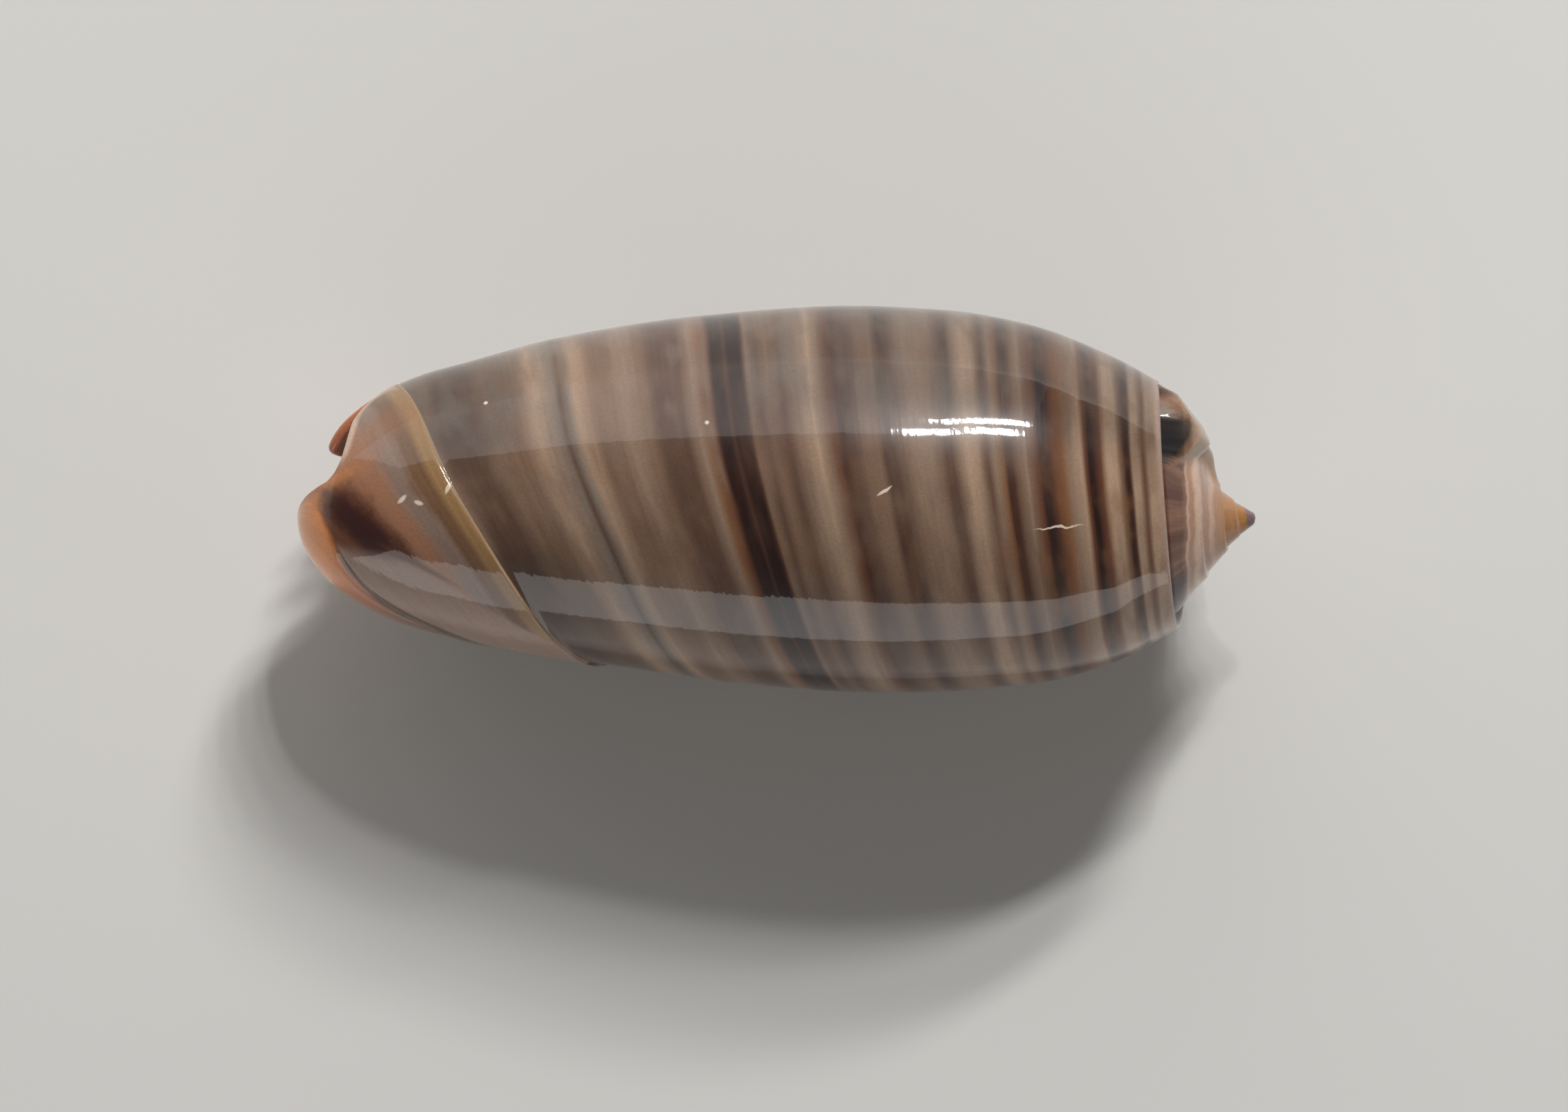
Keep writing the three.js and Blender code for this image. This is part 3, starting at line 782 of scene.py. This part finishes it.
def striated(tree, tone, start, turn, where):
    """Fine growth lines, and a fine mottle."""
    lines = tree.between(tree.streaks(start, turn, *GROWTH_LINES), *GROWTH_LINE_LEVELS, "LINEAR")
    grain = tree.between(tree.noise(where, *GRAIN), *GRAIN_LEVELS, "LINEAR")
    shade = tree.add(LEAST_SHADE, tree.times(lines, LINE_SHADE), tree.times(grain, GRAIN_SHADE))
    return tree.blend(1, tone, tree.place(shade, shade, shade), "MULTIPLY")


# Tone of the nose's band against the distance inwards from its edge
# painted highlight: a thin pale line along the band's raised edge
EDGE_HIGHLIGHT = colour(152, 128, 104)
GOLD = colour(143, 110, 72)
OLIVE = colour(110, 80, 57)
MAUVE = colour(130, 107, 94)
APRICOT = colour(150, 106, 80)
UMBER = colour(124, 76, 54)
NOSE_BANDS = [
    (0, EDGE_HIGHLIGHT), (0.05, EDGE_HIGHLIGHT), (0.14, GOLD), (0.6, GOLD), (0.95, OLIVE), (1.35, OLIVE),
    (1.75, MAUVE), (2.3, MAUVE), (2.9, APRICOT), (3.6, APRICOT), (4.6, UMBER),
]
PLUM = colour(56, 25, 23)
SALMON = colour(186, 114, 84)
# painted shade and a painted dark reflection along the groove outside the rolled edge
CREASE = colour(44, 30, 26)
# Pale tone of the spire's ridges, and a painted highlight along the notch's rim
PALE_RIDGE_AND_HIGHLIGHT = colour(190, 160, 138)

# Tone of the nose's rolled edge against the distance from the tip
ORANGE = colour(226, 142, 78)
ROLL_BANDS = [
    (0, ORANGE), (1.2, ORANGE), (2.6, colour(186, 116, 80)), (4.6, colour(132, 94, 70)),
    (7, colour(112, 92, 74)),
]

# On the nose a pair says where a tone sets in and where it is full: from the band's edge inwards
# (EDGES), from the rim inwards (RIM), both in millimetres, or in degrees of turn (TURNS). Numbers
# that end in CLOUD say how far the cloud shifts a border.
ON_BAND = (-0.03, 0.03)  # from the band's edge
OFF_LIP = (104, 94)  # turns
NOSE_NOISE = (700, 4, 0.6)  # scale per metre, detail and roughness
NOSE_WAVER = 1.5
NOSE_WAVER_EDGES = (0.6, 2.5)
PATCH_EDGES = (5.3, 0.5, 1.75)  # the plum patch: its middle, core and reach
PATCH_LIP_TURNS = (40, 4)
PATCH_FAR_TURNS = (-34, -16)
PATCH_RIM = (0.5, 1.9)
PATCH_EDGE_CLOUD = 2.2
PATCH_TURN_CLOUD = 26
PATCH_RIM_CLOUD = 1.5
PATCH_SHARE = 0.96
PATCH_GLOW = (3.2, 4.4)
PATCH_GLOW_SHARE = 0.5
RUST_LINE_START = 6.68  # from the band's edge, at turn 0
RUST_LINE_SLOPE = 0.119  # in millimetres per degree of turn
RUST_LINE_WIDTH = (0.1, 0.5)  # core and reach
RUST_LINE_TURNS = [(-12, -18), (-34, -26)]
RUST_LINE_SHARE = 0.8
LILAC_EDGES = (0.1, 0.8)  # beyond the rust line
LILAC_TURNS = (-16, -28)
NOTCH_RIM_TONE = (2.2, 0.5)
NOTCH_CLOUD = 1.2
NOTCH_TONE_TURNS = [(66, 44), (6, 26)]
NOTCH_SHARE = 0.8
CREASE_SHADE_WIDTH = (2.5, 5)  # core and reach, in degrees of turn
CREASE_SHADE_TURNS = (-12, -30)
CREASE_SHADE_SHARE = 0.85
ROLL_CLOUD = 14
ROLL_TONE = (-9, 8)  # in degrees inside the line of the rolled edge
TIP_RIM = (1.5, 0.4)
TIP_TURNS = (38, 16)
# painted highlight along the notch's rim
NOTCH_HIGHLIGHT_RIM = (0.4, 0.15)
NOTCH_HIGHLIGHT_TURNS = [(32, 44), (100, 88)]
LIP_FOOT_RIM = (3.2, 1.2)
LIP_FOOT_TONE_TURNS = (82, 96)


def nose_tone(tree, edge, rim, turn, roll, where):
    """The band round the nose, its plum patch, the orange edge of the nose, and painted highlights
    and shade.
    """
    cloud = tree.cloud(where, *NOSE_NOISE)
    waver = tree.times(cloud, tree.between(edge, *NOSE_WAVER_EDGES), NOSE_WAVER)
    tone = tree.ramp(tree.add(edge, waver), NOSE_BANDS)

    off_far_side = tree.between(turn, *PATCH_FAR_TURNS)
    glow = tree.times(tree.between(edge, *PATCH_GLOW), off_far_side, PATCH_GLOW_SHARE)
    tone = tree.blend(glow, tone, RUST)
    wide_edge = tree.add(edge, tree.times(cloud, PATCH_EDGE_CLOUD))
    wide_turn = tree.add(turn, tree.times(cloud, PATCH_TURN_CLOUD))
    wide_rim = tree.add(rim, tree.times(cloud, PATCH_RIM_CLOUD))
    patch = tree.times(
        tree.near(wide_edge, *PATCH_EDGES), tree.between(wide_turn, *PATCH_LIP_TURNS),
        tree.between(wide_turn, *PATCH_FAR_TURNS), tree.between(wide_rim, *PATCH_RIM))
    tone = tree.blend(tree.times(patch, PATCH_SHARE), tone, PLUM)

    slanted = tree.less(edge, tree.add(RUST_LINE_START, tree.times(turn, RUST_LINE_SLOPE)))
    rust_turns = [tree.between(turn, *turns) for turns in RUST_LINE_TURNS]
    rust_line = tree.times(tree.near(slanted, 0, *RUST_LINE_WIDTH), *rust_turns)
    tone = tree.blend(tree.times(rust_line, RUST_LINE_SHARE), tone, RUST)
    under = tree.times(tree.between(slanted, *LILAC_EDGES), tree.between(turn, *LILAC_TURNS))
    tone = tree.blend(under, tone, LILAC)

    notch_turns = [tree.between(turn, *turns) for turns in NOTCH_TONE_TURNS]
    notch_rim = tree.add(rim, tree.times(cloud, NOTCH_CLOUD))
    notch = tree.times(tree.between(notch_rim, *NOTCH_RIM_TONE), *notch_turns)
    tone = tree.blend(tree.times(notch, NOTCH_SHARE), tone, APRICOT)
    # Painted shade and dark reflection along the groove
    crease = tree.times(
        tree.near(roll, CREASE_ROLL, *CREASE_SHADE_WIDTH), tree.between(turn, *CREASE_SHADE_TURNS))
    tone = tree.blend(tree.times(crease, CREASE_SHADE_SHARE), tone, CREASE)

    rolled = tree.between(tree.add(roll, tree.times(cloud, ROLL_CLOUD)), *ROLL_TONE)
    tip = tree.times(tree.between(tree.add(rim, cloud), *TIP_RIM), tree.between(turn, *TIP_TURNS))
    tone = tree.blend(tree.larger(rolled, tip), tone, tree.ramp(rim, ROLL_BANDS))
    # Painted highlight along the notch's rim
    line_turns = [tree.between(turn, *turns) for turns in NOTCH_HIGHLIGHT_TURNS]
    notch_rim_highlight = tree.times(tree.between(rim, *NOTCH_HIGHLIGHT_RIM), *line_turns)
    return tree.blend(notch_rim_highlight, tone, PALE_RIDGE_AND_HIGHLIGHT)


# Tone of the spire against the distance from the apex
SPIRE_TIP = colour(112, 92, 92)
SPIRE_GOLD = colour(160, 110, 58)
SPIRE_ORANGE = colour(158, 114, 78)
SPIRE_PINK = colour(154, 116, 92)
SPIRE_RED = colour(84, 50, 38)
SPIRE_BANDS = [
    (0, SPIRE_TIP), (0.36, SPIRE_TIP), (0.52, SPIRE_GOLD), (1.0, SPIRE_ORANGE),
    (1.45, SPIRE_ORANGE), (1.75, SPIRE_PINK), (2.95, SPIRE_PINK), (3.3, SPIRE_RED), (5, SPIRE_RED),
]
# Pale ridges: along, half width and strength
SPIRE_RIDGES = [(1.95, 0.2, 0.55), (2.6, 0.25, 0.9), (3.05, 0.1, 0.6)]
RIDGE_CORE = 0.2  # share of the half width
# painted shade on the spire's low side, towards the far side
SPIRE_LOW_SHADE = colour(50, 34, 36)
# painted shade: the channel painted near black
CHANNEL_PAINTED_SHADE = colour(14, 8, 9)
# painted shade in the notch beside the lip
LIP_NOTCH_SHADE_TONE = colour(86, 62, 50)
CALLUS_TONE = colour(146, 116, 92)

SPIRE_NOISE = (900, 3)  # scale per metre, and detail
SPIRE_WAVER = 0.4  # in millimetres
SPIRE_SLANT = -0.0012  # in millimetres per degree of turn
LOW_SIDE = (2.95, 3.4)  # along
RAGGED_CLOUD = 30  # in degrees of turn
RAGGED_FIBRES = 40  # in degrees of turn
LOW_SHADE_TURNS = (-30, -46)
LOW_SHADE_SHARE = 0.9
HOLE_SHADE_TURNS = (20, 30)  # painted shade: the channel is near black from here to the lip
FAR_CHANNEL_SHADE_TURNS = (-32, -60)  # and from here round the far side
CHANNEL_RED_SHADE_SHARE = 0.8  # and its own red between the two, deepened as painted shade
LIP_NOTCH_SHADE_SETS_IN = (66, 72)  # turns
GLAZE_CLOUD = 0.1
GLAZE_HEIGHTS = (0.05, 0.22)  # of the callus


def spire_tone(tree, along, turn, callus, hollow, where):
    """The spire with its pale ridges, painted shade in the channel round it and on its low side,
    and the callus on its lip side.
    """
    cloud = tree.cloud(where, *SPIRE_NOISE)
    wavering = tree.add(along, tree.times(cloud, SPIRE_WAVER), tree.times(turn, SPIRE_SLANT))
    tone = tree.ramp(wavering, SPIRE_BANDS)
    for at, half_width, strength in SPIRE_RIDGES:
        ridge = tree.near(wavering, at, RIDGE_CORE * half_width, half_width)
        tone = tree.blend(tree.times(ridge, strength), tone, PALE_RIDGE_AND_HIGHLIGHT)

    fibres = tree.streaks(along, turn, *FIBRES)
    low_side = tree.between(wavering, *LOW_SIDE)
    pale_fibres = tree.times(low_side, tree.between(fibres, *FIBRE_LEVELS), FIBRE_SHARE)
    tone = tree.blend(pale_fibres, tone, SPIRE_PINK)
    fringe = tree.times(tree.less(fibres, 0.5), RAGGED_FIBRES)
    ragged = tree.add(turn, tree.times(cloud, RAGGED_CLOUD), fringe)
    # Painted shade on the low far side
    low_shade = tree.times(tree.between(ragged, *LOW_SHADE_TURNS), low_side, LOW_SHADE_SHARE)
    tone = tree.blend(low_shade, tone, SPIRE_LOW_SHADE)

    # Painted shade: the channel near black at its ends, and brown in the notch beside the lip
    far_end = tree.between(ragged, *FAR_CHANNEL_SHADE_TURNS)
    shaded_ends = tree.larger(tree.between(turn, *HOLE_SHADE_TURNS), far_end)
    painted_hollow_shade = tree.blend(tree.between(turn, *LIP_NOTCH_SHADE_SETS_IN), CHANNEL_PAINTED_SHADE, LIP_NOTCH_SHADE_TONE)
    tone = tree.blend(tree.times(hollow, shaded_ends), tone, painted_hollow_shade)
    # The channel's own red, deepened as painted shade
    red = tree.times(hollow, tree.less(1, shaded_ends), CHANNEL_RED_SHADE_SHARE)
    tone = tree.blend(red, tone, SPIRE_RED)
    glaze = tree.between(tree.add(callus, tree.times(cloud, GLAZE_CLOUD)), *GLAZE_HEIGHTS)
    return tree.blend(tree.times(glaze, tree.less(1, hollow)), tone, CALLUS_TONE)


# Marks of wear: along, turn, half length and half width in millimetres, and slant in degrees from
# the axis
MARKS = [
    (33.7, 48.5, 0.1, 0.1, 0), (24.03, 30, 0.1, 0.1, 0), (16.3, 7.8, 0.4, 0.07, 36),
    (8.7, -3.2, 1.05, 0.055, 3), (37.35, 8.6, 0.26, 0.1, 40), (36.62, 6.6, 0.22, 0.1, -20),
    (35.33, 12.4, 0.3, 0.1, 66),
]
MARK_SHARE = 0.85
MARK_WAVER = 0.35  # share of a mark's half length by which it wavers
MARK_NOISE = (2.2, 2)  # scale per millimetre, and detail
MARK_TURN_SCALE = 0.1  # millimetres that stand for one degree of turn in that noise
MARK_EDGE = (1.4, 0.2)  # squared distances from the mark's middle, in half widths


def marked(tree, tone, along, turn):
    """Small pale scratches and pits."""
    waver = tree.cloud(tree.place(along, tree.times(turn, MARK_TURN_SCALE)), *MARK_NOISE)
    for at, mark_turn, half_length, half_width, slant in MARKS:
        mm_per_degree = float(radius(at, mark_turn)) * math.pi / 180
        x = tree.less(along, at)
        y = tree.times(tree.less(turn, mark_turn), mm_per_degree)
        c, s = math.cos(math.radians(slant)), math.sin(math.radians(slant))
        down = tree.less(tree.times(x, c), tree.times(y, s))
        wavers = tree.times(waver, MARK_WAVER * half_length)
        aside = tree.add(tree.times(x, s), tree.times(y, c), wavers)
        down = tree.times(down, 1 / half_length)
        aside = tree.times(aside, 1 / half_width)
        off = tree.add(tree.times(down, down), tree.times(aside, aside))
        tone = tree.blend(tree.times(tree.between(off, *MARK_EDGE), MARK_SHARE), tone, WORN)
    return tone


# Tone of the inner face and the columella against "along"
INSIDE_BANDS = [
    (2, colour(120, 96, 84)), (12, colour(168, 142, 126)), (30, colour(196, 172, 152)), (40, CREAM),
]
INSIDE_SHARES = (0.1, 0.8)  # of the way from the outer to the inner face
SHOULDER_STARTS = (4.35, 4.1)  # the shoulder is paler
SHOULDER_SHARE = 0.75

# Gloss and bump
GLOSS = {"Roughness": 0.33, "Specular IOR Level": 0.15, "Coat Roughness": 0.045, "Coat IOR": 1.52}
MATT_HOLE = 0.9  # share of the coat that is missing in the hole
MATT_SIDE = 0.45  # and on the low side of the spire
MATT_SIDE_ALONG = (2.9, 3.3)
BUMP_HEIGHT = 1.4e-5  # in metres
DIMPLES = (900, 1)  # noise: scale per metre, and detail
RIDGE_HEIGHT = 0.55  # shares of the bump's height
DIMPLE_HEIGHT = 0.5


def shell_material():
    material = bpy.data.materials.new("glossy banded shell")
    tree = Tree(material)
    start, turn, along = tree.field("start"), tree.field("turn"), tree.field("along")
    edge, rim = tree.field("edge"), tree.field("rim")
    spire, hollow = tree.field("spire"), tree.field("hollow")
    where = tree.nodes.new("ShaderNodeTexCoord").outputs["Object"]

    tone = banded(tree, start, turn)
    on_nose = tree.times(tree.between(edge, *ON_BAND), tree.between(turn, *OFF_LIP))
    tone = tree.blend(on_nose, tone, nose_tone(tree, edge, rim, turn, tree.field("roll"), where))
    shoulder = tree.between(start, *SHOULDER_STARTS)
    tone = tree.blend(tree.times(shoulder, SHOULDER_SHARE), tone, LILAC)
    on_spire = spire_tone(tree, along, turn, tree.field("callus"), hollow, where)
    tone = tree.blend(spire, tone, on_spire)
    inside = tree.between(tree.field("inside"), *INSIDE_SHARES)
    tone = tree.blend(inside, tone, tree.ramp(along, INSIDE_BANDS))
    foot_turns = tree.between(turn, *LIP_FOOT_TONE_TURNS)
    lip_foot = tree.times(tree.between(rim, *LIP_FOOT_RIM), foot_turns)
    tone = tree.blend(lip_foot, tone, SALMON)
    tone = striated(tree, tone, start, turn, where)
    tree.put(tree.shader.inputs["Base Color"], marked(tree, tone, along, turn))

    ridges = tree.times(tree.streaks(start, turn, *GROWTH_RIDGES), RIDGE_HEIGHT)
    dimples = tree.times(tree.noise(where, *DIMPLES), DIMPLE_HEIGHT)
    bump = tree.nodes.new("ShaderNodeBump")
    bump.inputs["Distance"].default_value = BUMP_HEIGHT
    tree.put(bump.inputs["Height"], tree.add(ridges, dimples))
    tree.put(tree.shader.inputs["Normal"], bump.outputs["Normal"])
    tree.put(tree.shader.inputs["Coat Normal"], bump.outputs["Normal"])
    matt_hole = tree.times(hollow, tree.between(turn, *HOLE_SHADE_TURNS), MATT_HOLE)
    matt_side = tree.times(spire, tree.between(along, *MATT_SIDE_ALONG), MATT_SIDE)
    tree.put(tree.shader.inputs["Coat Weight"], tree.less(1, tree.larger(matt_hole, matt_side)))
    for name, value in GLOSS.items():
        tree.shader.inputs[name].default_value = value
    return material


# ---- Floor, light and camera ---------------------------------------------------------------------

PHOTO_SIZE = (2290, 1624)
PHOTO_APEX = (1834, 756)  # where the apex lies in the photograph, in its pixels
MM_PER_PIXEL = 0.03
CAMERA_HEIGHT = 1.5  # above the coiling axis, in metres
CAMERA_NEAR = 0.01
SENSOR = 36

FLOOR_HALF = 1.2  # in metres
FLOOR_TONE = colour(214, 212, 208)
FLOOR_GLOSS = {"Roughness": 0.8, "Specular IOR Level": 0.1}

# Softboxes: centre, the point each faces, its long direction, size in metres and power in watts
SOFTBOXES = {
    "far_panel": ((-0.38, 0.6, 0.33), (-0.38, 0, 0.33), (1, 0, 0), (0.95, 0.66), 1.9),
    "far_panel_fades": ((0.14, 0.6, 0.33), (0.14, 0, 0.33), (1, 0, 0), (0.09, 0.66), 0.12),
    "far_panel_ends": ((0.23, 0.6, 0.33), (0.23, 0, 0.33), (1, 0, 0), (0.09, 0.66), 0.06),
    "near_panel": ((0, -0.6, 0.06), (0, 0, 0.06), (1, 0, -0.17), (1.5, 0.56), 3.6),
}
# The key light is two rows of small boxes: the row's centre, the size of a box, and the place along
# the row and the power of each
KEY_AIM = (0.008, 0.004, 0.015)
KEY_ROW_WAY = (0.137, 0.02, -0.055)
KEY_ROWS = {
    "key_upper": (
        (0.118, 0.4, 0.39), (0.019, 0.03),
        [(-0.062, 0.5), (-0.034, 0.25), (0.004, 0.3), (0.038, 0.4), (0.066, 0.25)]),
    "key_lower": (
        (0.13, 0.445, 0.34), (0.02, 0.026),
        [(-0.052, 0.2), (-0.02, 0.3), (0.01, 0.4), (0.04, 0.45), (0.068, 0.2)]),
}
WORLD_TONE = (1, 0.98, 0.96, 1)
WORLD_STRENGTH = 0.12


def add_floor():
    corners = [(x * FLOOR_HALF, y * FLOOR_HALF, 0) for x, y in ((-1, -1), (1, -1), (1, 1), (-1, 1))]
    mesh = bpy.data.meshes.new("floor")
    mesh.from_pydata(corners, [], [(0, 1, 2, 3)])
    floor = bpy.data.objects.new("floor", mesh)
    bpy.context.scene.collection.objects.link(floor)
    material = bpy.data.materials.new("pale floor")
    material.use_nodes = True
    shader = material.node_tree.nodes["Principled BSDF"]
    shader.inputs["Base Color"].default_value = FLOOR_TONE
    for name, value in FLOOR_GLOSS.items():
        shader.inputs[name].default_value = value
    mesh.materials.append(material)


def add_softbox(name, place, aim, across, size, power):
    light = bpy.data.lights.new(name, "AREA")
    light.shape = "RECTANGLE"
    light.size, light.size_y = size
    light.energy = power
    box = bpy.data.objects.new(name, light)
    bpy.context.scene.collection.objects.link(box)
    away = (Vector(place) - Vector(aim)).normalized()
    up = away.cross(Vector(across)).normalized()
    turned = Matrix((up.cross(away), up, away)).transposed()
    box.matrix_world = Matrix.Translation(place) @ turned.to_4x4()


def add_lights():
    for name, settings in SOFTBOXES.items():
        add_softbox(name, *settings)
    row_way = Vector(KEY_ROW_WAY).normalized()
    for name, (centre, size, boxes) in KEY_ROWS.items():
        for i, (along_row, power) in enumerate(boxes):
            place = Vector(centre) + along_row * row_way
            add_softbox(f"{name}_{i}", place, KEY_AIM, row_way, size, power)
    world = bpy.data.worlds.new("studio")
    world.use_nodes = True
    world.node_tree.nodes["Background"].inputs["Color"].default_value = WORLD_TONE
    world.node_tree.nodes["Background"].inputs["Strength"].default_value = WORLD_STRENGTH
    bpy.context.scene.world = world


def add_camera(axis_y):
    width = PHOTO_SIZE[0] * MM_PER_PIXEL * MM
    camera = bpy.data.cameras.new("camera")
    camera.sensor_width = SENSOR
    camera.lens = SENSOR * CAMERA_HEIGHT / width
    camera.clip_start = CAMERA_NEAR
    thing = bpy.data.objects.new("camera", camera)
    bpy.context.scene.collection.objects.link(thing)
    x = (LENGTH / 2 - (PHOTO_APEX[0] - PHOTO_SIZE[0] / 2) * MM_PER_PIXEL) * MM
    y = axis_y * MM - (PHOTO_SIZE[1] / 2 - PHOTO_APEX[1]) * MM_PER_PIXEL * MM
    thing.location = (x, y, REST_DEPTH * MM + CAMERA_HEIGHT)
    bpy.context.scene.camera = thing


# ---- Put together --------------------------------------------------------------------------------

shell = bpy.data.objects.new("shell_skin", shell_mesh())
bpy.context.scene.collection.objects.link(shell)
shell.data.materials.append(shell_material())
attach(shell, "root")
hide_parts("shell")

apex = max((vertex.co for vertex in shell.data.vertices), key=lambda place: place.x)
add_floor()
add_lights()
add_camera(apex.y / MM)
bpy.context.scene.view_settings.view_transform = "Standard"
